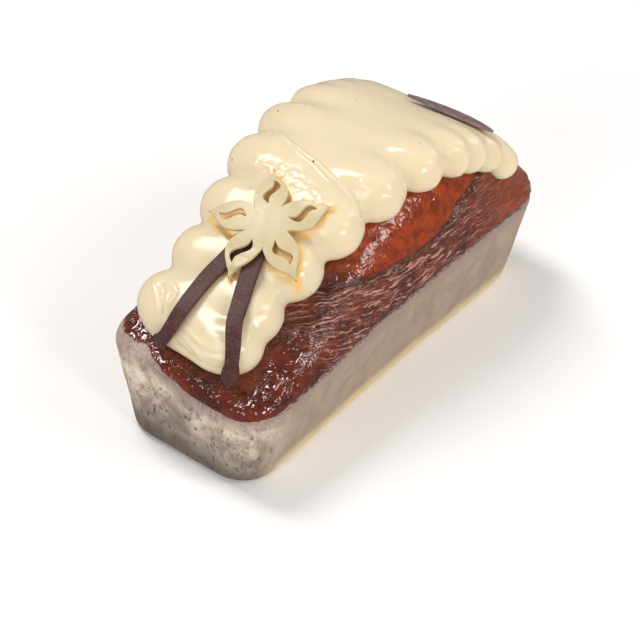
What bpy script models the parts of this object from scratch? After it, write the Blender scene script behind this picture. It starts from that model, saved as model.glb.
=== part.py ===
"""A tall pound cake loaf with piped vanilla cream and chocolate pieces.

Metres, +Z up. The loaf stands on z = 0 with its long side along Y. The end
with the flower faces -Y.
"""

import math

import bmesh
import bpy
from mathutils import Matrix, Vector
from mathutils.bvhtree import BVHTree

# Tin shaped lower part of the loaf
RIM_LENGTH = 0.191
RIM_WIDTH = 0.084
RIM_HEIGHT = 0.040
BASE_FRONT = -0.0942
BASE_BACK = 0.0886
BASE_WIDTH = 0.069
CORNER_RADIUS = 0.0155
FOOT_RADIUS = 0.0024
SIDE_PINCH = 0.0012

# Domed crust above the tin's rim
FRONT_RISE = 0.0068
CREST_RISE = 0.0473
BACK_RISE = 0.0165
CREST_Y = 0.030
DOME_POWER = 3.28
DOME_RINGS = 15

# Split shoulder: the burst part of the dome lies a little lower than the skin
SPLIT_DEPTH = 0.0009
SPLIT_LINE = (
    (-0.060, 0.0720),
    (-0.047, 0.0665),
    (-0.028, 0.0664),
    (-0.011, 0.0640),
    (0.003, 0.0623),
    (0.022, 0.0620),
    (0.031, 0.0646),
    (0.046, 0.0705),
    (0.060, 0.0730),
    (0.095, 0.0800),
)

# Piped cream
ROPE_SHIFT_X = -0.0033
LEFT_LIMIT = -0.0368
ROPE_RADIUS_FRONT = 0.0123
ROPE_RADIUS_BACK = 0.0073
ROPE_SINK = 0.35
CREST_SINK = 0.60
ROPE_START = -1.0
FIRST_ROW_BULGE = 0.0042
FIRST_ROW_DROP = 0.0030
FIRST_ROW_WIDEN = 0.0022
FIRST_TURN_Y = -0.0720
WIDE_STEP = 0.0107
WIDE_STEPS = 10
NARROW_STEP = 0.0046
NARROW_STEPS = 7
CREAM_VOXEL = 0.0026
CREAM_KEPT = 0.55

# Chocolate flower
FLOWER_CENTRE = Vector((0.0036, -0.0442, 0.0930))
FLOWER_NORMAL = Vector((0.128, -0.374, 0.919)).normalized()
FLOWER_DROOP = 7.9
FLOWER_THICKNESS = 0.0018
PETAL_ANGLES = (121.5, 49.0, -29.0, -90.5, -166.5)
PETAL_TURNS = (1, -1, -1, 1, -1)
PETAL_BENDS = (-0.0008, 0.0, 0.0, -0.0020, 0.0)
NOTCH_RADIUS = 0.0092
PETAL_LENGTH = 0.0262
PETAL_WIDTH = 0.0134
HOLE_START = 0.0088
HOLE_END = 0.0212
HOLE_WIDTH = 0.0037
HOLE_SWAY = 0.0017
PETAL_ROWS = 14

# Chocolate pods, from under the flower down to the knob
POD_THICKNESS = 0.0018
POD_HALF_WIDTH = 0.0039
NECK_HALF_WIDTH = 0.0028
KNOB_RADIUS = 0.0037
POD_ROWS = 30
POD_LEFT = (
    (-0.0024, -0.0519, 0.0857),
    (-0.0031, -0.0612, 0.0811),
    (-0.0060, -0.0698, 0.0769),
    (-0.0051, -0.0819, 0.0724),
    (-0.0052, -0.0901, 0.0660),
    (-0.0070, -0.0926, 0.0600),
    (-0.0125, -0.0900, 0.0535),
)
POD_RIGHT = (
    (0.0045, -0.0487, 0.0870),
    (0.0069, -0.0559, 0.0833),
    (0.0107, -0.0653, 0.0792),
    (0.0150, -0.0755, 0.0738),
    (0.0172, -0.0800, 0.0690),
    (0.0193, -0.0839, 0.0600),
    (0.0214, -0.0886, 0.0490),
)

# Chocolate leaf on the back slope
LEAF_LEFT_TIP = Vector((-0.0043, 0.0577, 0.0935))
LEAF_RIGHT_TIP = Vector((0.0363, 0.0629, 0.0905))
LEAF_NORMAL = Vector((0.0, 0.50, 0.86)).normalized()
LEAF_NEAR_BULGE = 0.0016
LEAF_FAR_BULGE = 0.0080
LEAF_THICKNESS = 0.0013
LEAF_ROWS = 14

GAP = 0.0003


def clear_scene():
    for item in list(bpy.data.objects):
        bpy.data.objects.remove(item, do_unlink=True)


def material(name, colour, roughness):
    made = bpy.data.materials.new(name)
    made.use_nodes = True
    shader = made.node_tree.nodes["Principled BSDF"]
    shader.inputs["Base Color"].default_value = (*colour, 1.0)
    shader.inputs["Roughness"].default_value = roughness
    shader.inputs["Metallic"].default_value = 0.0
    return made


def add_node(name, mesh_source, look):
    """Turn a finished bmesh into a named object with its own material."""
    bmesh.ops.recalc_face_normals(mesh_source, faces=mesh_source.faces)
    mesh = bpy.data.meshes.new(name)
    mesh_source.to_mesh(mesh)
    mesh_source.free()
    node = bpy.data.objects.new(name, mesh)
    mesh.materials.append(look)
    bpy.context.scene.collection.objects.link(node)
    return node


def rounded_rectangle(half_width, front, back, radius, arc=6, side=26, end=7):
    """Points of a rounded rectangle, anticlockwise from the middle of +X."""
    corners = (
        (half_width - radius, back - radius, 0),
        (radius - half_width, back - radius, 90),
        (radius - half_width, front + radius, 180),
        (half_width - radius, front + radius, 270),
    )
    straight = (end, side, end, side)
    points = []
    for number, (x, y, turn) in enumerate(corners):
        for step in range(arc + 1):
            angle = math.radians(turn + 90 * step / arc)
            points.append((x + radius * math.cos(angle), y + radius * math.sin(angle)))
        after = corners[(number + 1) % 4]
        angle = math.radians(turn + 90)
        start = points[-1]
        finish = (after[0] + radius * math.cos(angle), after[1] + radius * math.sin(angle))
        for step in range(1, straight[number]):
            t = step / straight[number]
            points.append((start[0] + t * (finish[0] - start[0]), start[1] + t * (finish[1] - start[1])))
    return points


def pinched(x, y):
    """Sides of the loaf draw in a little at mid length."""
    along = max(-1.0, min(1.0, y / (0.5 * RIM_LENGTH)))
    return x - math.copysign(SIDE_PINCH, x) * math.cos(0.5 * math.pi * along) ** 2 * min(1.0, abs(x) / 0.02)


def crest_rise(y):
    """Height of the burst dome over the rim, along the loaf."""
    end = 0.5 * RIM_LENGTH
    if y < CREST_Y:
        climb = max(0.0, (y + end) / (CREST_Y + end))
        return FRONT_RISE + (CREST_RISE - FRONT_RISE) * math.sin(0.5 * math.pi * climb) ** 1.57
    fall = min(1.0, (y - CREST_Y) / (end - CREST_Y))
    return BACK_RISE + (CREST_RISE - BACK_RISE) * math.cos(0.5 * math.pi * fall) ** 1.06


def spine_point(y):
    """Nearest point of the line that the dome's rings shrink to."""
    half = 0.5 * (RIM_LENGTH - RIM_WIDTH)
    return max(-half, min(half, y))


def dome_height(x, y, grow=0.0):
    """Height of the crust at a place on the loaf; grow widens the dome."""
    spine = spine_point(y)
    away = min(1.0, math.hypot(x, y - spine) / (0.5 * RIM_WIDTH + grow))
    return RIM_HEIGHT + crest_rise(y) * (1 - away**DOME_POWER) ** (1 / DOME_POWER)


def split_height(y):
    """Height of the line where the crust split, along the loaf."""
    for (start, low), (end, high) in zip(SPLIT_LINE, SPLIT_LINE[1:]):
        if y <= end:
            return low + (high - low) * max(0.0, y - start) / (end - start)
    return SPLIT_LINE[-1][1]


def split_inset(y, z):
    """How far the burst part of the crust lies inside the skin."""
    rise = max(0.0, min(1.0, (z - split_height(y) + 0.001) / 0.003))
    return SPLIT_DEPTH * rise * rise * (3 - 2 * rise)


def loaf_rings(grow=0.0):
    """Rings of the loaf from the underside to the crest, outwards by grow."""
    rings = []
    for height, inset in ((0.0, FOOT_RADIUS), (0.3 * FOOT_RADIUS, 0.3 * FOOT_RADIUS), (FOOT_RADIUS, 0.0)):
        rings.append((height / RIM_HEIGHT, inset))
    for step in range(1, 6):
        rings.append((FOOT_RADIUS / RIM_HEIGHT + step / 5 * (1 - FOOT_RADIUS / RIM_HEIGHT), 0.0))
    made = []
    for part, inset in rings:
        half_width = 0.5 * (BASE_WIDTH + part * (RIM_WIDTH - BASE_WIDTH)) - inset + grow
        front = BASE_FRONT + part * (-0.5 * RIM_LENGTH - BASE_FRONT) + inset - grow
        back = BASE_BACK + part * (0.5 * RIM_LENGTH - BASE_BACK) - inset + grow
        outline = rounded_rectangle(half_width, front, back, CORNER_RADIUS - 0.5 * inset + grow)
        made.append([Vector((pinched(x, y), y, part * RIM_HEIGHT)) for x, y in outline])
    rim = made[-1]
    for step in range(1, DOME_RINGS + 1):
        angle = 0.5 * math.pi * step / (DOME_RINGS + 0.6)
        shrink = math.cos(angle) ** (2 / DOME_POWER)
        rise = math.sin(angle) ** (2 / DOME_POWER)
        ring = []
        for point in rim:
            spine = spine_point(point.y)
            y = spine + shrink * (point.y - spine)
            z = RIM_HEIGHT + crest_rise(y) * rise
            inset = split_inset(y, z)
            x = shrink * point.x * (1 - inset / (0.5 * RIM_WIDTH))
            ring.append(Vector((x, y, z + (grow - 0.5 * inset) * rise)))
        made.append(ring)
    return made


def loaf_mesh(grow=0.0):
    shape = bmesh.new()
    rings = [[shape.verts.new(point) for point in ring] for ring in loaf_rings(grow)]
    for lower, upper in zip(rings, rings[1:]):
        for index in range(len(lower)):
            after = (index + 1) % len(lower)
            shape.faces.new((lower[index], lower[after], upper[after], upper[index]))
    shape.faces.new(rings[0])
    crown = shape.faces.new(rings[-1])
    bmesh.ops.triangulate(shape, faces=[crown])
    return shape


def turn_y(step):
    """Place along the loaf of a step of the zigzag."""
    if step < 0:
        return FIRST_TURN_Y + FIRST_ROW_DROP * step - FIRST_ROW_BULGE * math.sin(-math.pi * step)
    if step <= WIDE_STEPS:
        return FIRST_TURN_Y + WIDE_STEP * step
    return FIRST_TURN_Y + WIDE_STEP * WIDE_STEPS + NARROW_STEP * (step - WIDE_STEPS)


def rope_radius(y):
    part = max(0.0, min(1.0, (y + 0.002) / 0.072))
    return ROPE_RADIUS_FRONT + part * (ROPE_RADIUS_BACK - ROPE_RADIUS_FRONT)


def rope_point(step):
    """Centre of the piped rope and its radius at a step of the zigzag."""
    y = turn_y(step)
    reach = 0.0251 + 0.150 * y + 0.316 * y**2 + FIRST_ROW_WIDEN * max(0.0, min(1.0, 1 - step))
    x = max(LEFT_LIMIT, ROPE_SHIFT_X - reach * math.cos(math.pi * step))
    radius = rope_radius(y)
    tiny = 0.0004
    slope_x = (dome_height(x + tiny, y) - dome_height(x - tiny, y)) / (2 * tiny)
    slope_y = (dome_height(x, y + tiny) - dome_height(x, y - tiny)) / (2 * tiny)
    normal = Vector((-slope_x, -slope_y, 1.0)).normalized()
    surface = Vector((x, y, dome_height(x, y)))
    towards_back = max(0.0, min(1.0, (y + 0.010) / 0.050))
    sink = ROPE_SINK + CREST_SINK * towards_back * math.sin(math.pi * step) ** 2
    return surface + normal * radius * (1 - sink), radius


def add_cream(look):
    """One rope of cream piped in a zigzag from the front end to the back."""
    samples = int((WIDE_STEPS + NARROW_STEPS - ROPE_START) * 12)
    last = WIDE_STEPS + NARROW_STEPS
    curve = bpy.data.curves.new("rope", "CURVE")
    curve.dimensions = "3D"
    curve.bevel_depth = 1.0
    curve.bevel_resolution = 5
    curve.use_fill_caps = True
    spline = curve.splines.new("POLY")
    spline.points.add(samples)
    for index in range(samples + 1):
        step = ROPE_START + index / samples * (last - ROPE_START)
        centre, radius = rope_point(step)
        spline.points[index].co = (*centre, 1.0)
        spline.points[index].radius = radius
    rope = bpy.data.objects.new("rope", curve)
    bpy.context.scene.collection.objects.link(rope)
    bpy.context.view_layer.update()
    graph = bpy.context.evaluated_depsgraph_get()
    shape = bmesh.new()
    shape.from_mesh(bpy.data.meshes.new_from_object(rope.evaluated_get(graph)))
    for step in (ROPE_START, last):
        centre, radius = rope_point(step)
        bmesh.ops.create_icosphere(shape, subdivisions=3, radius=radius, matrix=Matrix.Translation(centre))
    bpy.data.objects.remove(rope, do_unlink=True)
    cream = add_node("cream", shape, look)
    remesh = cream.modifiers.new("merge passes", "REMESH")
    remesh.mode = "VOXEL"
    remesh.voxel_size = CREAM_VOXEL
    soften = cream.modifiers.new("soften", "SMOOTH")
    soften.factor = 0.5
    soften.iterations = 4
    fewer = cream.modifiers.new("fewer faces", "DECIMATE")
    fewer.ratio = CREAM_KEPT
    seat = add_node("seat", loaf_mesh(GAP), look)
    seat.hide_render = True
    seat.display_type = "WIRE"
    cut = cream.modifiers.new("seat on crust", "BOOLEAN")
    cut.operation = "DIFFERENCE"
    cut.object = seat
    return cream


def trees_of(nodes):
    """Search trees of the finished shapes that a piece rests on."""
    bpy.context.view_layer.update()
    graph = bpy.context.evaluated_depsgraph_get()
    return [BVHTree.FromObject(node, graph) for node in nodes]


def height_over(trees, point, up, reach=0.015):
    """Height along up of the first surface met from above the point."""
    heights = [-reach]
    for tree in trees:
        hit = tree.ray_cast(point + up * reach, -up, 2 * reach)
        if hit[0] is not None:
            heights.append(reach - hit[3])
    return max(heights)


def highest_near(trees, point, up, along, across, spread):
    """Highest surface in a small patch round a point."""
    places = [(i, j) for i in (-1, 0, 1) for j in (-1, 0, 1)]
    return max(height_over(trees, point + along * i * spread + across * j * spread, up) for i, j in places)


def curve_point(points, part):
    """Smooth curve through the given points, for a part of its course."""
    place = part * (len(points) - 1)
    index = min(int(place), len(points) - 2)
    t = place - index
    first, second = Vector(points[index]), Vector(points[index + 1])
    before = Vector(points[index - 1]) if index > 0 else 2 * first - second
    after = Vector(points[index + 2]) if index + 2 < len(points) else 2 * second - first
    return 0.5 * (
        2 * first
        + (second - before) * t
        + (2 * before - 5 * first + 4 * second - after) * t**2
        + (3 * first - before - 3 * second + after) * t**3
    )


def pod_half_width(part):
    """Half width of a pod: a long taper, a neck and a round knob."""
    if part < 0.84:
        return POD_HALF_WIDTH + (NECK_HALF_WIDTH - POD_HALF_WIDTH) * (part / 0.84) ** 2
    from_centre = (part - 0.93) / 0.075
    knob = KNOB_RADIUS * math.sqrt(max(0.04, 1 - from_centre**2))
    return max(knob, NECK_HALF_WIDTH) if part < 0.93 else knob


def add_pod(name, points, under, look):
    """A flat strip that lies on the cream and ends in a knob by the crust."""
    trees = trees_of(under)
    parts = [row / POD_ROWS for row in range(POD_ROWS + 1)]
    path = [curve_point(points, part) for part in parts]
    for _ in range(14):
        inner = [0.25 * path[i - 1] + 0.5 * path[i] + 0.25 * path[i + 1] for i in range(1, POD_ROWS)]
        path = [path[0], *inner, path[-1]]
    normals = []
    for point in path:
        found = [tree.find_nearest(point) for tree in trees]
        nearest = min(found, key=lambda hit: hit[3])
        normals.append(nearest[1])
    for _ in range(12):
        ends = [normals[0], *normals, normals[-1]]
        normals = [(ends[i] + ends[i + 1] + ends[i + 2]).normalized() for i in range(len(normals))]
    rows = []
    for index, point in enumerate(path):
        along = (path[min(index + 1, POD_ROWS)] - path[max(index - 1, 0)]).normalized()
        across = along.cross(normals[index]).normalized()
        up = across.cross(along).normalized()
        half = pod_half_width(parts[index])
        spots = [point + across * half * side for side in (-1.1, -0.55, 0, 0.55, 1.1)]
        rows.append((point, along, across, up, half, max(height_over(trees, spot, up) for spot in spots)))
    rests = [row[5] for row in rows]
    rests = [max(rests[max(0, i - 2) : i + 3]) for i in range(len(rests))]
    rests = [rests[max(0, i - 2) : i + 3] for i in range(len(rests))]
    shape = bmesh.new()
    rings = []
    for index, (point, along, across, up, half, _) in enumerate(rows):
        rest = sum(rests[index]) / len(rests[index]) + GAP + 0.0002
        thick = POD_THICKNESS
        edge = min(0.0004, 0.4 * half)
        section = (
            (-half + edge, 0.0),
            (half - edge, 0.0),
            (half, 0.35 * thick),
            (half, 0.7 * thick),
            (half - edge, thick),
            (-half + edge, thick),
            (-half, 0.7 * thick),
            (-half, 0.35 * thick),
        )
        rings.append([shape.verts.new(point + across * a + up * (rest + b)) for a, b in section])
    for lower, upper in zip(rings, rings[1:]):
        for index in range(8):
            after = (index + 1) % 8
            shape.faces.new((lower[index], lower[after], upper[after], upper[index]))
    shape.faces.new(rings[0])
    shape.faces.new(rings[-1])
    return add_node(name, shape, look)


def petal_half_width(part):
    """Half width of a petal: 0 at the notch, 1 at the tip."""
    start = NOTCH_RADIUS * math.sin(math.pi / 5)
    swell = 0.5 * PETAL_WIDTH - start * (1 - part)
    return max(0.0003, (start * (1 - part) + swell * math.sin(math.pi * part**0.62)) * (1 - part**5))


def add_flower(under, look):
    """Five petals with a curled slot in each, bent over the cream."""
    trees = trees_of(under)
    right = (Vector((1, 0, 0)) - FLOWER_NORMAL * FLOWER_NORMAL.x).normalized()
    back = FLOWER_NORMAL.cross(right)
    shape = bmesh.new()

    def corner(x, y):
        away = x * x + y * y
        point = FLOWER_CENTRE + right * x + back * y - FLOWER_NORMAL * FLOWER_DROOP * away
        rest = highest_near(trees, point, FLOWER_NORMAL, right, back, 0.0014)
        lift = max(0.0, rest + FLOWER_THICKNESS + GAP + 0.0002)
        return shape.verts.new(point + FLOWER_NORMAL * lift)

    middle = corner(0.0, 0.0)
    notches = []
    for petal in range(5):
        before = PETAL_ANGLES[petal - 1] + (360 if petal == 0 else 0)
        angle = math.radians(0.5 * (PETAL_ANGLES[petal] + before))
        notches.append(corner(NOTCH_RADIUS * math.cos(angle), NOTCH_RADIUS * math.sin(angle)))
    foot = NOTCH_RADIUS * math.cos(math.pi / 5)
    for petal, turn in enumerate(PETAL_TURNS):
        angle = math.radians(PETAL_ANGLES[petal])
        out_x, out_y = math.cos(angle), math.sin(angle)

        bend = PETAL_BENDS[petal]

        def place(u, v):
            v += bend * math.sin(math.pi * (u - foot) / (PETAL_LENGTH - foot))
            return corner(out_x * u - out_y * v, out_y * u + out_x * v)

        left, right_side = notches[petal], notches[(petal + 1) % 5]
        base = place(foot, 0.0)
        shape.faces.new((middle, right_side, base))
        shape.faces.new((middle, base, left))
        last = (left, base, base, right_side)
        for row in range(1, PETAL_ROWS + 1):
            part = row / PETAL_ROWS
            u = foot + part * (PETAL_LENGTH - foot)
            half = petal_half_width(part)
            along = (u - HOLE_START) / (HOLE_END - HOLE_START)
            slot = 0.5 * HOLE_WIDTH * math.sin(math.pi * max(0.0, min(1.0, along))) ** 0.9
            sway = turn * HOLE_SWAY * math.sin(2 * math.pi * max(0.0, min(1.0, along)))
            outer_left = place(u, half)
            outer_right = place(u, -half)
            if slot > 0.0004:
                inner_left, inner_right = place(u, sway + slot), place(u, sway - slot)
            else:
                inner_left = inner_right = place(u, sway)
            now = (outer_left, inner_left, inner_right, outer_right)
            shape.faces.new(list(dict.fromkeys((last[0], last[1], now[1], now[0]))))
            shape.faces.new(list(dict.fromkeys((last[2], last[3], now[3], now[2]))))
            last = now
    bmesh.ops.recalc_face_normals(shape, faces=shape.faces)
    if sum((face.normal for face in shape.faces), Vector()).dot(FLOWER_NORMAL) < 0:
        bmesh.ops.reverse_faces(shape, faces=shape.faces)
    lower = bmesh.ops.extrude_face_region(shape, geom=list(shape.faces), use_keep_orig=True)
    for item in lower["geom"]:
        if isinstance(item, bmesh.types.BMVert):
            item.co -= FLOWER_NORMAL * FLOWER_THICKNESS
    return add_node("flower", shape, look)


def add_leaf(under, look):
    """A pointed flat plate that leans on the back slope of the cream."""
    trees = trees_of(under)
    across = (LEAF_RIGHT_TIP - LEAF_LEFT_TIP).normalized()
    up = (LEAF_NORMAL - across * LEAF_NORMAL.dot(across)).normalized()
    away = up.cross(across)
    outline = []
    for row in range(LEAF_ROWS + 1):
        part = row / LEAF_ROWS
        spot = LEAF_LEFT_TIP.lerp(LEAF_RIGHT_TIP, part)
        outline.append(spot + away * LEAF_FAR_BULGE * math.sin(math.pi * part) ** 0.8)
    for row in range(1, LEAF_ROWS):
        part = 1 - row / LEAF_ROWS
        spot = LEAF_LEFT_TIP.lerp(LEAF_RIGHT_TIP, part)
        outline.append(spot - away * LEAF_NEAR_BULGE * math.sin(math.pi * part) ** 0.8)
    middle = sum(outline, Vector()) / len(outline)
    spots = [middle.lerp(point, part) for point in outline for part in (0.0, 0.25, 0.5, 0.75, 1.0)]
    rest = max(height_over(trees, spot, up) for spot in spots) + GAP + 0.0002
    shape = bmesh.new()
    low = [shape.verts.new(point + up * rest) for point in outline]
    high = [shape.verts.new(point + up * (rest + LEAF_THICKNESS)) for point in outline]
    for index in range(len(outline)):
        after = (index + 1) % len(outline)
        shape.faces.new((low[index], low[after], high[after], high[index]))
    shape.faces.new(low)
    shape.faces.new(high)
    return add_node("leaf", shape, look)


def main():
    clear_scene()
    crust = material("crust", (0.16, 0.03, 0.012), 0.3)
    ivory = material("vanilla cream", (0.86, 0.72, 0.46), 0.3)
    white = material("white chocolate", (0.82, 0.74, 0.46), 0.4)
    strip_dark = material("strip chocolate", (0.14, 0.065, 0.06), 0.55)
    leaf_dark = material("leaf chocolate", (0.12, 0.055, 0.05), 0.5)
    loaf = add_node("loaf", loaf_mesh(), crust)
    cream = add_cream(ivory)
    pod_left = add_pod("pod_left", POD_LEFT, (cream, loaf), strip_dark)
    pod_right = add_pod("pod_right", POD_RIGHT, (cream, loaf), strip_dark.copy())
    add_flower((cream, pod_left, pod_right), white)
    add_leaf((cream,), leaf_dark)


main()
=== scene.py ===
import math

import bpy
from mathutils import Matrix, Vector, noise
from mathutils.bvhtree import BVHTree


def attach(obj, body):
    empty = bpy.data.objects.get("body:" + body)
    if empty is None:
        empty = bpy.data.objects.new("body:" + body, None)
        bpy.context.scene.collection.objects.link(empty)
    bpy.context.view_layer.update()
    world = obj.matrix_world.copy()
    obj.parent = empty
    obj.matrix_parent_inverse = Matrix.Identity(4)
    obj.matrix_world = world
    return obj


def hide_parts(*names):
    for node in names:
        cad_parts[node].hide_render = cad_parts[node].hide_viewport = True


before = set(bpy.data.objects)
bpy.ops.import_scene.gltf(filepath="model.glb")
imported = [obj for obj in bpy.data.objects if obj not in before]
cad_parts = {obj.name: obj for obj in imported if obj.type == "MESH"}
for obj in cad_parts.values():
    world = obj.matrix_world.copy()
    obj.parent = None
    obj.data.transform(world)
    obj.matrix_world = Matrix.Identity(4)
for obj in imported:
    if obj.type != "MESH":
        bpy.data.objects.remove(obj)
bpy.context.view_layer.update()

# Camera and light
# A long lens looks down on the flower end and the right side of the loaf.
# One broad soft light stands above on the left, weaker ones fill the rest.
LENS_MM = 149.54
SENSOR_MM = 36.0
CAMERA_PLACE = (0.5294, -0.6615, 0.7515)
CAMERA_AIM = (-0.0068, 0.0024, 0.0042)
LIGHT_AIM = (0.0, 0.0, 0.05)
SOFT_LIGHTS = (
    ("top_light", (-0.58, -0.03, 1.20), 0.34, 0.62, 9.8, (1.0, 0.96, 0.94)),
    ("top_right_light", (0.88, 0.28, 0.92), 0.36, 0.40, 3.3, (1.0, 0.97, 0.96)),
    ("right_light", (1.10, -0.34, 0.46), 0.30, 0.30, 4.0, (1.0, 0.98, 0.96)),
    ("front_light", (0.06, -1.16, 0.66), 0.60, 0.46, 4.4, (1.0, 0.98, 0.96)),
    ("back_light", (0.25, 1.20, 0.75), 0.60, 0.40, 2.4, (1.0, 0.98, 0.97)),
)
STUDIO_GLOW = 0.24
WHITE = (1.0, 1.0, 1.0, 1.0)


def turn_to(item, aim):
    """Point a camera or a light at a place."""
    item.rotation_euler = (Vector(aim) - item.location).to_track_quat("-Z", "Y").to_euler()


camera_data = bpy.data.cameras.new("camera")
camera_data.lens = LENS_MM
camera_data.sensor_width = SENSOR_MM
camera_data.clip_end = 20.0
camera = bpy.data.objects.new("camera", camera_data)
camera.location = CAMERA_PLACE
turn_to(camera, CAMERA_AIM)
bpy.context.scene.collection.objects.link(camera)
bpy.context.scene.camera = camera
bpy.context.scene.view_settings.view_transform = "Standard"
bpy.context.scene.view_settings.look = "None"

for name, spot, width, height, power, colour in SOFT_LIGHTS:
    light = bpy.data.lights.new(name, "AREA")
    light.shape = "RECTANGLE"
    light.size = width
    light.size_y = height
    light.energy = power
    light.color = colour
    lamp = bpy.data.objects.new(name, light)
    lamp.location = spot
    turn_to(lamp, LIGHT_AIM)
    bpy.context.scene.collection.objects.link(lamp)

world = bpy.data.worlds.new("studio")
world.use_nodes = True
world.node_tree.nodes["Background"].inputs["Color"].default_value = WHITE
world.node_tree.nodes["Background"].inputs["Strength"].default_value = STUDIO_GLOW
bpy.context.scene.world = world

# Floor
# A plain pale sheet under the loaf that runs past the view on all sides.
# It is matt, and the wet glaze doesn't mirror it.
FLOOR_WIDTH = 8.0
FLOOR_DROP = 0.0004
FLOOR_ROUGHNESS = 0.8

bpy.ops.object.select_all(action="DESELECT")
bpy.ops.mesh.primitive_plane_add(size=FLOOR_WIDTH, location=(0.0, 0.0, -FLOOR_DROP))
floor = bpy.context.object
floor.name = "floor"
bpy.ops.object.transform_apply(location=True, rotation=True, scale=True)
floor_finish = bpy.data.materials.new("pale sheet")
floor_finish.use_nodes = True
floor_finish.node_tree.nodes["Principled BSDF"].inputs["Base Color"].default_value = WHITE
floor_finish.node_tree.nodes["Principled BSDF"].inputs["Roughness"].default_value = FLOOR_ROUGHNESS
floor.data.materials.append(floor_finish)
floor.visible_glossy = False

# Loaf
# A tall pound cake from a narrow tin, browned and glazed on its burst dome.
# The tin gave it smooth pale sides, and the dome split along the shoulder.
RIM_LENGTH = 0.191
RIM_WIDTH = 0.084
RIM_HEIGHT = 0.040
LOAF_VOXEL = 0.00095
LOAF_SMOOTHING = 6

# Where the crust begins: the turn round the loaf in degrees, and the height
CRUST_EDGE = (
    (-180, 0.0445), (-140, 0.0445), (-118, 0.0455), (-106, 0.0430), (-92, 0.0412),
    (-80, 0.0385), (-65, 0.0380), (-45, 0.0395), (-20, 0.0430), (0, 0.0440), (60, 0.0440), (180, 0.0445),
)

# Where the dome split: the place along the loaf, and the height
SPLIT_LINE = (
    (-0.060, 0.072), (-0.047, 0.0665), (-0.028, 0.0664), (-0.011, 0.0640), (0.003, 0.0623),
    (0.022, 0.0620), (0.031, 0.0646), (0.0365, 0.0685), (0.046, 0.0705), (0.060, 0.073), (0.095, 0.080),
)
SPLIT_CLOSES_Y = -0.028
SPLIT_CLOSING_WIDTH = 0.033
SPLIT_CLOSING_SLOPE = 0.53

# How the creases flow: they lean in over the shoulder and drop at the front
FLOW_LEAN = 0.8
FLOW_EDGE_X = 0.0415
FLOW_DROP = 4.5
FLOW_LEVEL_Y = 0.015

# How far the surface moves in or out
CRUST_LUMP = 0.00035
SPLIT_DEPTH = 0.0010
SPLIT_WIDTH = 0.0012
SPLIT_OFFSET = 0.0004
CREASE_DEPTH = 0.00055
SHOULDER_SWELL = 0.0002
SIDE_DENT = 0.0004
SIDE_PIT = 0.00012

# Colours of the crust, from the dark glaze to the pale crests of its creases; the pale crests are partly
# painted highlight, and the dark valleys and split are painted shade
DARK_GLAZE = (0.070, 0.0080, 0.0035, 1.0)
RED_GLAZE = (0.185, 0.023, 0.0050, 1.0)
FAR_END_BROWN = (0.27, 0.046, 0.010, 1.0)
BURST_RED = (0.20, 0.024, 0.004, 1.0)
BURST_ORANGE = (0.40, 0.053, 0.004, 1.0)
NEAR_CREST_TONE_AND_SHEEN = (0.43, 0.115, 0.050, 1.0)
FAR_CREST_TONE_AND_SHEEN = (0.40, 0.065, 0.010, 1.0)
CREST_HIGHLIGHT = (0.66, 0.40, 0.32, 1.0)
VALLEY_SHADE = (0.045, 0.010, 0.007, 1.0)
SPLIT_SHADE = (0.03, 0.006, 0.004, 1.0)

# Colours of the sides, from the smoky front wall to the yellow towards the bottom
SIDE_DARK = (0.40, 0.290, 0.210, 1.0)
SIDE_LIGHT = (0.48, 0.352, 0.258, 1.0)
FRONT_DARK = (0.40, 0.315, 0.240, 1.0)
FRONT_LIGHT = (0.90, 0.75, 0.590, 1.0)
SCRATCH = (0.085, 0.070, 0.055, 1.0)
FRONT_FOOT = (0.090, 0.060, 0.042, 1.0)
FOOT_YELLOW = (0.95, 0.72, 0.36, 1.0)
BLUSH = (0.36, 0.235, 0.205, 1.0)
PORE = (0.040, 0.026, 0.022, 1.0)
GLAZE_BUMP = 0.0009
GLAZE_SPECULAR = 0.85


def between(table, value):
    """Read a value from a short table of pairs, straight between them."""
    if value <= table[0][0]:
        return table[0][1]
    for (a, low), (b, high) in zip(table, table[1:]):
        if value <= b:
            return low + (high - low) * (value - a) / (b - a)
    return table[-1][1]


def smooth_step(low, high, value):
    """Rise softly from nothing at the low value to one at the high value."""
    part = max(0.0, min(1.0, (value - low) / (high - low)))
    return part * part * (3 - 2 * part)


def only(item):
    """Deselect everything and make one piece the active selection."""
    bpy.ops.object.select_all(action="DESELECT")
    item.select_set(True)
    bpy.context.view_layer.objects.active = item


def apply_modifier(item, kind, **settings):
    """Shape a piece with one modifier and keep the result as its mesh."""
    only(item)
    added = item.modifiers.new(kind.lower(), kind)
    for name, value in settings.items():
        setattr(added, name, value)
    bpy.ops.object.modifier_apply(modifier=added.name)


def piece_from_node(node, name):
    """A merged copy of a solid to shape further."""
    item = bpy.data.objects.new(name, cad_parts[node].data.copy())
    bpy.context.scene.collection.objects.link(item)
    item.data.materials.clear()
    only(item)
    bpy.ops.object.mode_set(mode="EDIT")
    bpy.ops.mesh.select_all(action="SELECT")
    bpy.ops.mesh.remove_doubles(threshold=0.00002)
    bpy.ops.mesh.tris_convert_to_quads(face_threshold=0.8, shape_threshold=0.8)
    bpy.ops.object.mode_set(mode="OBJECT")
    return item


def places_and_facings(item):
    """Every point of a mesh and the way it faces, as two lists."""
    places = [vertex.co.copy() for vertex in item.data.vertices]
    facings = [normal.vector.copy() for normal in item.data.vertex_normals]
    return places, facings


def move_points(item, places):
    """Put every point of a mesh at its new place."""
    item.data.vertices.foreach_set("co", [value for place in places for value in place])
    item.data.update()


def paint(item, name, values):
    """Keep one number per point for the material to read."""
    layer = item.data.attributes.new(name, "FLOAT", "POINT")
    layer.data.foreach_set("value", values)


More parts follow.
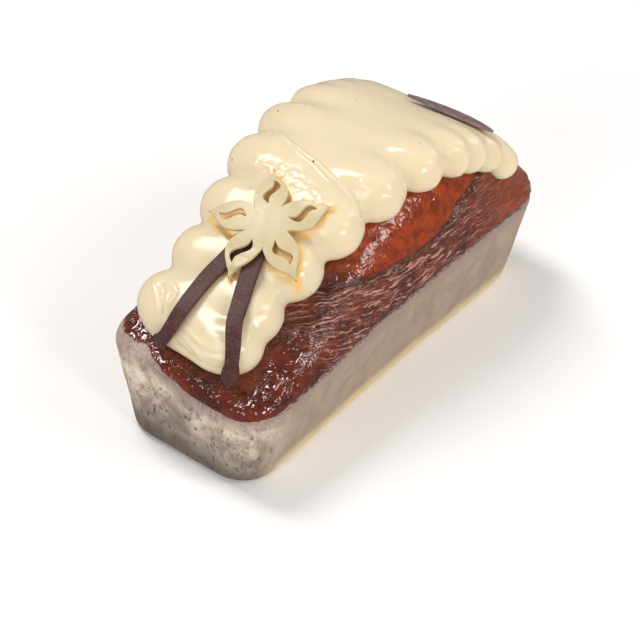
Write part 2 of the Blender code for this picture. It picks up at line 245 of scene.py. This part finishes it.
loaf = piece_from_node("loaf", "glazed_loaf")
apply_modifier(loaf, "REMESH", mode="VOXEL", voxel_size=LOAF_VOXEL)
apply_modifier(loaf, "SMOOTH", factor=0.5, iterations=LOAF_SMOOTHING)
above_edge = []
above_split = []
shoulder = []
flow = []
places, facings = places_and_facings(loaf)
for index, (x, y, z) in enumerate(places):
    turn = math.degrees(math.atan2(y / RIM_LENGTH, x / RIM_WIDTH))
    edge = z - between(CRUST_EDGE, turn)
    over_split = z - between(SPLIT_LINE, y)
    if y < SPLIT_CLOSES_Y:
        closing = SPLIT_CLOSING_WIDTH + (y - SPLIT_CLOSES_Y) * SPLIT_CLOSING_SLOPE
        over_split = min(over_split, closing - abs(x))
    on_crust = smooth_step(-0.001, 0.001, edge)
    burst = smooth_step(-0.0015, 0.0015, over_split)
    band = on_crust * (1 - burst) * smooth_step(-0.068, -0.035, y)
    groove = math.exp(-((over_split + SPLIT_OFFSET) / SPLIT_WIDTH) ** 2)
    groove = groove * on_crust * smooth_step(-0.055, -0.038, y)
    drop = FLOW_DROP * max(0.0, FLOW_LEVEL_Y - y) ** 2
    strand = z + FLOW_LEAN * (FLOW_EDGE_X - abs(x)) - drop
    spot = Vector((x, y, z))
    lump = noise.noise(spot * 110.0) + 0.6 * noise.noise(spot * 260.0)
    fold = noise.noise(Vector((strand * 330.0, y * 45.0, 2.0)))
    fold += 0.5 * noise.noise(Vector((strand * 600.0, y * 80.0, 5.0)))
    push = on_crust * (CRUST_LUMP * lump - SPLIT_DEPTH * groove)
    push += band * (CREASE_DEPTH * fold + SHOULDER_SWELL)
    push += (1 - on_crust) * (SIDE_DENT * noise.noise(spot * 35.0) + SIDE_PIT * noise.noise(spot * 180.0))
    places[index] = spot + facings[index] * push * smooth_step(0.0, 0.006, z)
    above_edge.append(edge)
    above_split.append(over_split)
    shoulder.append(band)
    flow.append(strand)
move_points(loaf, places)
paint(loaf, "above_edge", above_edge)
paint(loaf, "split", above_split)
paint(loaf, "shoulder", shoulder)
paint(loaf, "flow", flow)
only(loaf)
bpy.ops.object.shade_smooth()


class Board:
    """A board of shader nodes, with short words for the nodes on it."""

    def __init__(self, tree):
        self.tree = tree

    def add(self, kind, **settings):
        made = self.tree.nodes.new(kind)
        for name, value in settings.items():
            setattr(made, name, value)
        return made

    def feed(self, source, target):
        if isinstance(source, bpy.types.NodeSocket):
            self.tree.links.new(source, target)
        else:
            target.default_value = source

    def feed_all(self, made, values):
        for label, value in values.items():
            self.feed(value, made.inputs[label])
        return made.outputs

    def sum_of(self, operation, first, second):
        made = self.add("ShaderNodeMath", operation=operation)
        self.feed(first, made.inputs[0])
        self.feed(second, made.inputs[1])
        return made.outputs[0]

    def times(self, first, second):
        return self.sum_of("MULTIPLY", first, second)

    def plus(self, first, second):
        return self.sum_of("ADD", first, second)

    def minus(self, first, second):
        return self.sum_of("SUBTRACT", first, second)

    def read(self, name):
        return self.add("ShaderNodeAttribute", attribute_name=name).outputs["Fac"]

    def noise(self, vector, scale, detail=3.0, rough=0.5, twist=0.0):
        values = {"Vector": vector, "Scale": scale, "Detail": detail}
        values.update({"Roughness": rough, "Distortion": twist})
        return self.feed_all(self.add("ShaderNodeTexNoise"), values)["Fac"]

    def ramp(self, source, low, high, start=0.0, end=1.0):
        values = {"Value": source, "From Min": low, "From Max": high, "To Min": start, "To Max": end}
        made = self.add("ShaderNodeMapRange", interpolation_type="SMOOTHSTEP")
        return self.feed_all(made, values)["Result"]

    def blend(self, amount, first, second):
        made = self.add("ShaderNodeMix", data_type="RGBA")
        self.feed(amount, made.inputs["Factor"])
        self.feed(first, made.inputs[6])
        self.feed(second, made.inputs[7])
        return made.outputs[2]

    def bump(self, height, strength, distance):
        values = {"Height": height, "Strength": strength, "Distance": distance}
        return self.feed_all(self.add("ShaderNodeBump"), values)["Normal"]

    def effect(self, group, **values):
        return self.feed_all(self.add("ShaderNodeGroup", node_tree=group), values)


class Finish(Board):
    """One material: its board, its shader and its places on the piece."""

    def __init__(self, name):
        self.material = bpy.data.materials.new(name)
        self.material.use_nodes = True
        super().__init__(self.material.node_tree)
        self.shader = self.tree.nodes["Principled BSDF"].inputs
        self.place = self.add("ShaderNodeTexCoord").outputs["Object"]

    def stretched(self, scale, turn=(0.0, 0.0, 0.0)):
        values = {"Vector": self.place, "Scale": scale, "Rotation": turn}
        return self.feed_all(self.add("ShaderNodeMapping"), values)["Vector"]

    def set(self, label, source):
        self.feed(source, self.shader[label])


def shared_effect(name, inputs, outputs):
    """An empty shader node group with named inputs and outputs."""
    group = bpy.data.node_groups.new(name, "ShaderNodeTree")
    for label, kind in inputs.items():
        group.interface.new_socket(name=label, in_out="INPUT", socket_type="NodeSocket" + kind)
    for label, kind in outputs.items():
        group.interface.new_socket(name=label, in_out="OUTPUT", socket_type="NodeSocket" + kind)
    board = Board(group)
    return group, board, board.add("NodeGroupInput").outputs, board.add("NodeGroupOutput").inputs


# Mottling: soft patches that run from one colour to a second
mottling, board, given, out = shared_effect(
    "mottling",
    {"Place": "Vector", "Scale": "Float", "Detail": "Float", "Roughness": "Float", "Twist": "Float",
     "Low": "Float", "High": "Float", "First": "Color", "Second": "Color"},
    {"Colour": "Color", "Amount": "Float"},
)
patches = board.noise(given["Place"], given["Scale"], given["Detail"], given["Roughness"], given["Twist"])
patches = board.ramp(patches, given["Low"], given["High"])
board.feed(board.blend(patches, given["First"], given["Second"]), out["Colour"])
board.feed(patches, out["Amount"])

# Uneven gloss: wetter and duller patches of one surface
uneven_gloss, board, given, out = shared_effect(
    "uneven gloss",
    {"Place": "Vector", "Scale": "Float", "Wet": "Float", "Dull": "Float"},
    {"Roughness": "Float"},
)
patches = board.noise(given["Place"], given["Scale"], 3.0, 0.6)
board.feed(board.ramp(patches, 0.3, 0.8, given["Wet"], given["Dull"]), out["Roughness"])

baked = Finish("baked crust and sides")
place = baked.place
axes = baked.add("ShaderNodeSeparateXYZ")
baked.feed(place, axes.inputs[0])
along = axes.outputs["Y"]
upward = axes.outputs["Z"]

# Where the crust, its burst part, its creased shoulder and the sides lie
ragged = baked.minus(baked.noise(place, 420.0, 4.0, 0.65, 0.6), 0.5)
wide = baked.minus(baked.noise(place, 60.0), 0.5)
edge = baked.plus(baked.read("above_edge"), baked.times(ragged, 0.0016))
edge = baked.plus(edge, baked.times(wide, 0.004))
on_crust = baked.ramp(edge, -0.0003, 0.0003)
split = baked.read("split")
burst = baked.ramp(baked.plus(split, baked.times(wide, 0.009)), -0.0022, 0.0024)
burst = baked.times(burst, baked.ramp(along, -0.050, -0.010))
shoulder = baked.read("shoulder")
front_end = baked.ramp(along, -0.030, -0.060)
front_wall = baked.ramp(along, -0.070, -0.092)
far_end = baked.ramp(along, 0.036, 0.070)

# Creases that run down the shoulder and then along it
strands = baked.add("ShaderNodeCombineXYZ")
sway = baked.times(baked.minus(baked.noise(place, 130.0, 2.0), 0.5), 0.0055)
baked.feed(baked.plus(baked.read("flow"), sway), strands.inputs[0])
baked.feed(baked.times(along, 0.12), strands.inputs[1])
baked.feed(baked.times(wide, 0.002), strands.inputs[2])
creases = baked.noise(strands.outputs[0], 950.0, 2.5, 0.55, 0.7)
# Painted shade: the valleys between the creases are darkened
valley_shade = baked.times(baked.ramp(creases, 0.48, 0.36), shoulder)
crest = baked.times(baked.ramp(creases, 0.46, 0.64), shoulder)
# Painted highlight: a thin pale pink line along the top of each crest
crest_highlight = baked.times(baked.ramp(creases, 0.55, 0.63), shoulder)
crest_highlight = baked.times(crest_highlight, baked.ramp(along, 0.020, 0.060, 1.0, 0.10))

# Crust colour: dark glaze, orange where the dome burst, crests paled partly by painted highlight, a painted
# highlight line on each crest, painted shade in the crease valleys and along the split
glaze = baked.effect(
    mottling, Place=place, Scale=90.0, Detail=4.0, Roughness=0.62, Twist=0.8,
    Low=0.36, High=0.66, First=DARK_GLAZE, Second=RED_GLAZE,
)
ember = baked.effect(
    mottling, Place=place, Scale=210.0, Detail=5.0, Roughness=0.7, Twist=0.6,
    Low=0.38, High=0.62, First=BURST_RED, Second=BURST_ORANGE,
)
crust_colour = baked.blend(baked.times(far_end, 0.85), glaze["Colour"], FAR_END_BROWN)
crust_colour = baked.blend(burst, crust_colour, ember["Colour"])
# Paler crests: partly the crust's own tone, partly a painted highlight
crest_tone_and_sheen = baked.blend(baked.ramp(along, 0.045, 0.080), NEAR_CREST_TONE_AND_SHEEN, FAR_CREST_TONE_AND_SHEEN)
crust_colour = baked.blend(baked.times(crest, 0.60), crust_colour, crest_tone_and_sheen)
crust_colour = baked.blend(baked.times(crest_highlight, 0.72), crust_colour, CREST_HIGHLIGHT)
# The painted shade in the valleys is weaker at the far end
valley_shade = baked.times(valley_shade, baked.ramp(far_end, 0.0, 1.0, 0.48, 0.22))
crust_colour = baked.blend(valley_shade, crust_colour, VALLEY_SHADE)
# Painted shade: a dark line along the groove of the split
split_shade = baked.times(baked.ramp(split, -0.0030, -0.0004), baked.ramp(split, 0.0016, 0.0002))
split_shade = baked.times(split_shade, baked.ramp(along, -0.055, -0.035))
crust_colour = baked.blend(baked.times(split_shade, 0.6), crust_colour, SPLIT_SHADE)

# Side colour: smoky front wall, plain sides, yellower towards the bottom, blush and pores under the crust
smoke = baked.effect(
    mottling, Place=baked.stretched((1.0, 1.0, 0.8), (0.0, 0.4, 0.0)), Scale=110.0, Detail=6.0,
    Roughness=0.68, Twist=0.5, Low=0.34, High=0.64, First=FRONT_DARK, Second=FRONT_LIGHT,
)
plain_side = baked.blend(smoke["Amount"], SIDE_DARK, SIDE_LIGHT)
side_colour = baked.blend(front_wall, plain_side, smoke["Colour"])
scratch = baked.noise(baked.stretched((1.0, 1.0, 0.45), (0.0, 0.5, 0.0)), 520.0, 4.0, 0.7, 0.4)
scratch = baked.times(baked.ramp(scratch, 0.56, 0.66), baked.plus(baked.times(front_wall, 0.83), 0.12))
side_colour = baked.blend(scratch, side_colour, SCRATCH)
foot = baked.ramp(baked.plus(upward, baked.times(wide, 0.016)), 0.034, 0.004)
foot = baked.times(baked.times(foot, front_wall), 0.86)
side_colour = baked.blend(foot, side_colour, FRONT_FOOT)
# The sides turn yellower towards the bottom, strongest at the very foot
yellow_foot = baked.times(baked.ramp(upward, 0.0095, 0.0020), baked.minus(1.0, front_wall))
side_colour = baked.blend(baked.times(yellow_foot, 0.85), side_colour, FOOT_YELLOW)
side_colour = baked.blend(baked.times(baked.ramp(edge, -0.012, -0.001), 0.72), side_colour, BLUSH)
pores = baked.noise(baked.stretched((1.0, 0.6, 1.4)), 850.0, 2.0, 0.55, 0.4)
pores = baked.times(baked.ramp(edge, -0.0032, -0.0004), baked.ramp(pores, 0.46, 0.53))
pores = baked.times(pores, baked.ramp(front_wall, 0.0, 1.0, 1.0, 0.30))
side_colour = baked.blend(pores, side_colour, PORE)
baked.set("Base Color", baked.blend(on_crust, side_colour, crust_colour))

# Wet glaze on the crust, dull crumb on the sides
gloss = baked.add("ShaderNodeMix", data_type="FLOAT")
baked.feed(on_crust, gloss.inputs[0])
baked.feed(baked.ramp(smoke["Amount"], 0.0, 1.0, 0.50, 0.62), gloss.inputs[2])
wet = baked.effect(uneven_gloss, Place=place, Scale=300.0, Wet=0.03, Dull=0.06)
baked.feed(wet["Roughness"], gloss.inputs[3])
baked.set("Roughness", gloss.outputs[0])
baked.set("Specular IOR Level", GLAZE_SPECULAR)

# Relief: swirls and pimples in the glaze, the creases, and the grain of the crumb
swirl = baked.noise(place, 160.0, 1.0, 0.4, 2.2)
cluster = baked.ramp(baked.noise(place, 75.0, 2.0), 0.34, 0.50, 0.36, 1.0)
swirl = baked.times(swirl, baked.times(cluster, baked.ramp(front_end, 0.0, 1.0, 1.0, 1.25)))
relief = baked.times(swirl, baked.ramp(burst, 0.0, 1.0, 1.0, 0.5))
pimple = baked.noise(place, 900.0, 2.0, 0.5, 0.6)
relief = baked.plus(relief, baked.times(pimple, baked.ramp(burst, 0.0, 1.0, 0.01, 0.16)))
relief = baked.times(relief, on_crust)
relief = baked.plus(relief, baked.times(creases, baked.times(shoulder, 1.3)))
grain = baked.noise(place, 1700.0, 3.0, 0.6)
relief = baked.plus(relief, baked.times(grain, baked.ramp(on_crust, 0.0, 1.0, 0.12, 0.01)))
baked.set("Normal", baked.bump(relief, 1.0, GLAZE_BUMP))
loaf.data.materials.append(baked.material)
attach(loaf, "root")
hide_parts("loaf")

# Cream
# Vanilla cream piped in one thick zigzag from the flower end to the back.
# It is soft and wet, with round lobes at the turns and a few seed specks.
ROPE_SHIFT_X = -0.0033
LEFT_LIMIT = -0.0368
ROPE_START = -1.0
WIDE_STEPS = 10
NARROW_STEPS = 7
FIRST_ROW_Y = -0.0720
WIDE_ROW = 0.0107
NARROW_ROW = 0.0046
ROPE_RADIUS = 0.0123
ROPE_THINNING = 0.0050
SAMPLES_A_STEP = 24
CREAM_VOXEL = 0.0014
MIDDLE_SMOOTHING = 190
LOBE_SHARE = 0.04
JOIN_SMOOTHING = 6
CREAM_SWELL = 0.00018
CREAM_TUG = 0.00006

# Ridges, and grooves with a minus sign: height, width and the line they follow
FOLDS = (
    (0.0011, 0.0009, (
        (-0.026, -0.002, 0.097), (-0.015, -0.006, 0.100), (-0.007, -0.008, 0.100), (0.001, -0.009, 0.0995),
        (0.008, -0.011, 0.0985), (0.016, -0.012, 0.0965), (0.022, -0.013, 0.094), (0.027, -0.016, 0.091),
    )),
    (0.0006, 0.0009, ((0.022, -0.007, 0.0985), (0.028, -0.006, 0.097), (0.033, -0.002, 0.094))),
    (-0.0012, 0.0010, (
        (-0.004, -0.092, 0.059), (0.002, -0.092, 0.057), (0.008, -0.092, 0.056), (0.020, -0.089, 0.056),
    )),
    (0.0010, 0.0012, (
        (-0.002, -0.091, 0.064), (0.003, -0.092, 0.062), (0.009, -0.092, 0.060), (0.020, -0.089, 0.061),
    )),
    (0.0007, 0.0010, (
        (-0.001, -0.089, 0.066), (0.005, -0.090, 0.0645), (0.010, -0.090, 0.0635), (0.015, -0.0895, 0.0635),
    )),
    (0.0006, 0.0009, ((0.008, -0.087, 0.0675), (0.012, -0.087, 0.067), (0.017, -0.086, 0.066))),
    (0.0008, 0.0010, ((-0.025, -0.080, 0.069), (-0.020, -0.0835, 0.068), (-0.016, -0.087, 0.066))),
    (-0.0009, 0.0010, ((-0.021, -0.079, 0.070), (-0.017, -0.083, 0.069), (-0.013, -0.088, 0.066))),
    (0.0007, 0.0009, ((-0.017, -0.0825, 0.069), (-0.012, -0.087, 0.067), (-0.010, -0.091, 0.063))),
    (0.0006, 0.0010, ((-0.019, -0.0765, 0.0715), (-0.0135, -0.079, 0.071), (-0.013, -0.084, 0.0685))),
    (0.0005, 0.0011, ((0.020, -0.058, 0.074), (0.021, -0.063, 0.073), (0.023, -0.067, 0.070))),
    (0.0004, 0.0012, ((0.016, -0.062, 0.076), (0.019, -0.071, 0.072), (0.023, -0.079, 0.066))),
)

# The line behind the flower along which the cream is crumpled
CRUMPLED = (
    (-0.024, -0.018, 0.096), (-0.013, -0.019, 0.0975), (-0.003, -0.020, 0.097), (0.006, -0.023, 0.096),
    (0.017, -0.021, 0.096), (0.025, -0.021, 0.094),
)
CRUMPLE_WIDTH = 0.0045
CRUMPLE_RISE = 0.0005

FLOWER_FACING = (0.128, -0.374, 0.919)
SHADE_REACH = 0.010
SHADE_WIDTH = 0.0022

CREAM = (0.815, 0.694, 0.479, 1.0)
PALE_CREAM = (0.83, 0.714, 0.500, 1.0)
SEED = (0.10, 0.05, 0.02, 1.0)
AMBER = (0.92, 0.57, 0.17, 1.0)


def crest_rise(y):
    """Height of the burst dome over the rim, along the loaf."""
    end = 0.5 * RIM_LENGTH
    if y < 0.030:
        climb = max(0.0, (y + end) / (0.030 + end))
        return 0.0068 + 0.0405 * math.sin(0.5 * math.pi * climb) ** 1.57
    fall = min(1.0, (y - 0.030) / (end - 0.030))
    return 0.0165 + 0.0308 * math.cos(0.5 * math.pi * fall) ** 1.06


def dome_height(x, y):
    """Height of the crust at a place on the loaf."""
    half = 0.5 * (RIM_LENGTH - RIM_WIDTH)
    spine = max(-half, min(half, y))
    away = min(1.0, math.hypot(x, y - spine) / (0.5 * RIM_WIDTH))
    return RIM_HEIGHT + crest_rise(y) * (1 - away**3.28) ** (1 / 3.28)


def zigzag_reach(y):
    """How far the zigzag swings out from its middle, along the loaf."""
    return 0.0251 + 0.150 * y + 0.316 * y**2


def rope_point(step):
    """Centre of the piped rope and its radius at a step of the zigzag."""
    if step < 0:
        y = FIRST_ROW_Y + 0.0030 * step - 0.0042 * math.sin(-math.pi * step)
    elif step <= WIDE_STEPS:
        y = FIRST_ROW_Y + WIDE_ROW * step
    else:
        y = FIRST_ROW_Y + WIDE_ROW * WIDE_STEPS + NARROW_ROW * (step - WIDE_STEPS)
    reach = zigzag_reach(y) + 0.0022 * max(0.0, min(1.0, 1 - step))
    x = max(LEFT_LIMIT, ROPE_SHIFT_X - reach * math.cos(math.pi * step))
    radius = ROPE_RADIUS - ROPE_THINNING * max(0.0, min(1.0, (y + 0.002) / 0.072))
    tiny = 0.0004
    slope_x = (dome_height(x + tiny, y) - dome_height(x - tiny, y)) / (2 * tiny)
    slope_y = (dome_height(x, y + tiny) - dome_height(x, y - tiny)) / (2 * tiny)
    normal = Vector((-slope_x, -slope_y, 1.0)).normalized()
    towards_back = max(0.0, min(1.0, (y + 0.010) / 0.050))
    sink = 0.35 + 0.60 * towards_back * math.sin(math.pi * step) ** 2
    return Vector((x, y, dome_height(x, y))) + normal * radius * (1 - sink), radius


def gap_to_line(spot, line):
    """Distance from a place to a line of short straight runs."""
    nearest = 1.0
    for start, end in zip(line, line[1:]):
        run = end - start
        part = max(0.0, min(1.0, (spot - start).dot(run) / run.length_squared))
        nearest = min(nearest, (spot - start - run * part).length)
    return nearest


# The zigzag is piped as a round rope, closed by a ball at each end
last_step = WIDE_STEPS + NARROW_STEPS
samples = (last_step + 1) * SAMPLES_A_STEP
rope_path = bpy.data.curves.new("rope", "CURVE")
rope_path.dimensions = "3D"
rope_path.bevel_depth = 1.0
rope_path.bevel_resolution = 8
rope_path.use_fill_caps = True
rope_line = rope_path.splines.new("POLY")
rope_line.points.add(samples)
for index in range(samples + 1):
    centre, radius = rope_point(ROPE_START + index / samples * (last_step - ROPE_START))
    rope_line.points[index].co = (*centre, 1.0)
    rope_line.points[index].radius = radius
cream = bpy.data.objects.new("piped_cream", rope_path)
bpy.context.scene.collection.objects.link(cream)
only(cream)
bpy.ops.object.convert(target="MESH")
cream = bpy.context.object
for step in (ROPE_START, last_step):
    centre, radius = rope_point(step)
    bpy.ops.mesh.primitive_uv_sphere_add(segments=32, ring_count=16, radius=radius, location=centre)
    cream.select_set(True)
    bpy.context.view_layer.objects.active = cream
    bpy.ops.object.join()
    only(cream)
bpy.ops.object.transform_apply(location=True, rotation=True, scale=True)

# Its rows run together in the middle and stay round at the lobes
apply_modifier(cream, "REMESH", mode="VOXEL", voxel_size=CREAM_VOXEL)
middle = cream.vertex_groups.new(name="middle")
for vertex in cream.data.vertices:
    away = abs(vertex.co.x - ROPE_SHIFT_X) / zigzag_reach(vertex.co.y)
    middle.add([vertex.index], max(LOBE_SHARE, 1 - smooth_step(0.35, 0.95, away)), "REPLACE")
apply_modifier(cream, "SMOOTH", factor=0.5, iterations=MIDDLE_SMOOTHING, vertex_group="middle")
apply_modifier(cream, "SMOOTH", factor=0.5, iterations=JOIN_SMOOTHING)
places, facings = places_and_facings(cream)
for index, spot in enumerate(places):
    soft = noise.noise(spot * 60.0)
    tug = noise.noise(Vector((spot.x * 60.0, spot.y * 160.0, spot.z * 90.0)) + Vector((3.0, 7.0, 1.0)))
    places[index] = spot + facings[index] * (CREAM_SWELL * soft + CREAM_TUG * tug)
move_points(cream, places)
apply_modifier(cream, "SUBSURF", levels=1, render_levels=1)

# Folds on the front mound and over the top, and the crumpled strip
folds = [(rise, width, [Vector(point) for point in line]) for rise, width, line in FOLDS]
crumpled = [Vector(point) for point in CRUMPLED]
places, facings = places_and_facings(cream)
for index, spot in enumerate(places):
    push = 0.0
    for rise, width, line in folds:
        if (spot - line[0]).length < (line[-1] - line[0]).length + 3 * width:
            fade = 0.85 + 0.3 * noise.noise(spot * 250.0)
            push += rise * fade * math.exp(-((gap_to_line(spot, line) / width) ** 2))
    rumpled = math.exp(-((gap_to_line(spot, crumpled) / CRUMPLE_WIDTH) ** 2))
    if rumpled > 0.01:
        push += CRUMPLE_RISE * rumpled * (noise.noise(spot * 280.0) + 0.6 * noise.noise(spot * 620.0))
    places[index] = spot + facings[index] * push
move_points(cream, places)

# The cream looks amber where the white chocolate shades it closely
flower_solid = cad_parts["flower"]
flower_facing = Vector(FLOWER_FACING).normalized()


def level(spot):
    """Drop the height of a place over the plane of the flower."""
    return spot - flower_facing * flower_facing.dot(spot)


flower_tree = BVHTree.FromPolygons(
    [level(vertex.co) for vertex in flower_solid.data.vertices],
    [tuple(face.vertices) for face in flower_solid.data.polygons],
)
near_flower = []
for spot in places:
    gap = flower_tree.find_nearest(level(spot), SHADE_REACH)[3]
    near_flower.append(0.0 if gap is None else math.exp(-((gap / SHADE_WIDTH) ** 2)))
paint(cream, "near_flower", near_flower)
only(cream)
bpy.ops.object.shade_smooth()

creamy = Finish("vanilla cream")
cloudy = creamy.effect(
    mottling, Place=creamy.place, Scale=55.0, Detail=3.0, Roughness=0.5, Twist=0.0,
    Low=0.3, High=0.7, First=CREAM, Second=PALE_CREAM,
)
seeds = creamy.add("ShaderNodeTexVoronoi", feature="F1")
creamy.feed_all(seeds, {"Vector": creamy.place, "Scale": 150.0})
chance = creamy.add("ShaderNodeSeparateColor")
creamy.feed(seeds.outputs["Color"], chance.inputs[0])
rare = creamy.ramp(chance.outputs[0], 0.76, 0.77)
speck = creamy.times(creamy.ramp(seeds.outputs["Distance"], 0.090, 0.055), rare)
cream_colour = creamy.blend(speck, cloudy["Colour"], SEED)
amber = creamy.times(creamy.ramp(creamy.read("near_flower"), 0.10, 0.9), 0.72)
creamy.set("Base Color", creamy.blend(amber, cream_colour, AMBER))
wet = creamy.effect(uneven_gloss, Place=creamy.place, Scale=180.0, Wet=0.17, Dull=0.23)
creamy.set("Roughness", wet["Roughness"])
creamy.set("Specular IOR Level", 0.38)
creamy.set("Subsurface Weight", 0.75)
creamy.set("Subsurface Radius", (1.0, 0.62, 0.26))
creamy.set("Subsurface Scale", 0.006)
ripple = creamy.noise(creamy.stretched((0.5, 1.0, 0.8), (0.0, 0.0, 0.35)), 120.0, 2.0, 0.45, 0.6)
creamy.set("Normal", creamy.bump(ripple, 0.10, 0.0006))
cream.data.materials.append(creamy.material)
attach(cream, "root")
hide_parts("cream")

# Chocolate flower
# Five petals with a curled slot in each, moulded in white chocolate.
# It was laid on the cream while soft enough to bend over the lobes.
SHARP_EDGE = math.radians(50)
WHITE_CHOCOLATE = (0.62, 0.525, 0.310, 1.0)
PALE_CHOCOLATE = (0.66, 0.56, 0.350, 1.0)


def rounded_plate(node, name, edge, steps, roundness, flat_angle):
    """A copy of a moulded plate whose sharp edges are softly rounded."""
    item = piece_from_node(node, name)
    only(item)
    bpy.ops.object.mode_set(mode="EDIT")
    bpy.ops.mesh.select_all(action="DESELECT")
    bpy.ops.mesh.edges_select_sharp(sharpness=SHARP_EDGE)
    bpy.ops.mesh.bevel(offset=edge, segments=steps, profile=roundness)
    bpy.ops.object.mode_set(mode="OBJECT")
    only(item)
    bpy.ops.object.shade_smooth_by_angle(angle=math.radians(flat_angle))
    return item


# Fine grain: the faint roughness that a mould leaves on chocolate
fine_grain, board, given, out = shared_effect(
    "fine grain",
    {"Place": "Vector", "Scale": "Float", "Roughness": "Float", "Strength": "Float", "Distance": "Float"},
    {"Normal": "Vector"},
)
grain = board.noise(given["Place"], given["Scale"], 3.0, given["Roughness"])
board.feed(board.bump(grain, given["Strength"], given["Distance"]), out["Normal"])

flower = rounded_plate("flower", "white_flower", 0.00035, 3, 0.6, 60)
white = Finish("white chocolate")
clouded = white.effect(
    mottling, Place=white.place, Scale=130.0, Detail=3.0, Roughness=0.5, Twist=0.0,
    Low=0.3, High=0.7, First=WHITE_CHOCOLATE, Second=PALE_CHOCOLATE,
)
white.set("Base Color", clouded["Colour"])
satin = white.effect(uneven_gloss, Place=white.place, Scale=400.0, Wet=0.36, Dull=0.48)
white.set("Roughness", satin["Roughness"])
white.set("Subsurface Weight", 0.25)
white.set("Subsurface Radius", (1.0, 0.7, 0.3))
white.set("Subsurface Scale", 0.002)
grain = white.effect(
    fine_grain, Place=white.place, Scale=900.0, Roughness=0.5, Strength=0.15, Distance=0.0004,
)
white.set("Normal", grain["Normal"])
flower.data.materials.append(white.material)
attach(flower, "root")
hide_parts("flower")

# Chocolate pods
# Two flat strips of dark chocolate, cut like vanilla pods with a knob.
# They run from under the flower down over the first row of cream.
STRIP_DARK = (0.066, 0.020, 0.018, 1.0)
STRIP_LIGHT = (0.095, 0.033, 0.029, 1.0)
STRIP_DUST = (0.34, 0.24, 0.21, 1.0)

strip = Finish("strip chocolate")
mottled = strip.effect(
    mottling, Place=strip.place, Scale=260.0, Detail=4.0, Roughness=0.6, Twist=0.0,
    Low=0.35, High=0.7, First=STRIP_DARK, Second=STRIP_LIGHT,
)
dust = strip.ramp(strip.noise(strip.place, 2300.0, 2.0, 0.6), 0.58, 0.67)
strip.set("Base Color", strip.blend(strip.times(dust, 0.45), mottled["Colour"], STRIP_DUST))
strip.set("Roughness", strip.ramp(dust, 0.0, 1.0, 0.5, 0.7))
strip.set("Specular IOR Level", 0.30)
grain = strip.effect(
    fine_grain, Place=strip.place, Scale=1500.0, Roughness=0.6, Strength=0.3, Distance=0.0003,
)
strip.set("Normal", grain["Normal"])
for node, name in (("pod_left", "strip_left"), ("pod_right", "strip_right")):
    pod = rounded_plate(node, name, 0.0003, 3, 0.6, 60)
    pod.data.materials.append(strip.material)
    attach(pod, "root")
    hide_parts(node)

# Chocolate leaf
# A thin pointed plate of dark chocolate with a satin face and a painted sheen.
# It was laid on the cream near the far end, where it leans on the slope.
# Painted sheen: both colours are lightened to a mauve grey over the dark chocolate
LEAF_SHEEN_DARK = (0.150, 0.088, 0.085, 1.0)
LEAF_SHEEN_LIGHT = (0.260, 0.170, 0.162, 1.0)

leaf = rounded_plate("leaf", "dark_leaf", 0.0002, 2, 0.7, 40)
satin_face = Finish("leaf chocolate")
streak = satin_face.effect(
    mottling, Place=satin_face.place, Scale=240.0, Detail=3.0, Roughness=0.5, Twist=0.0,
    Low=0.35, High=0.7, First=LEAF_SHEEN_DARK, Second=LEAF_SHEEN_LIGHT,
)
satin_face.set("Base Color", streak["Colour"])
satin_face.set("Roughness", satin_face.ramp(streak["Amount"], 0.0, 1.0, 0.36, 0.46))
grain = satin_face.effect(
    fine_grain, Place=satin_face.place, Scale=1200.0, Roughness=0.6, Strength=0.15, Distance=0.0003,
)
satin_face.set("Normal", grain["Normal"])
leaf.data.materials.append(satin_face.material)
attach(leaf, "root")
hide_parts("leaf")
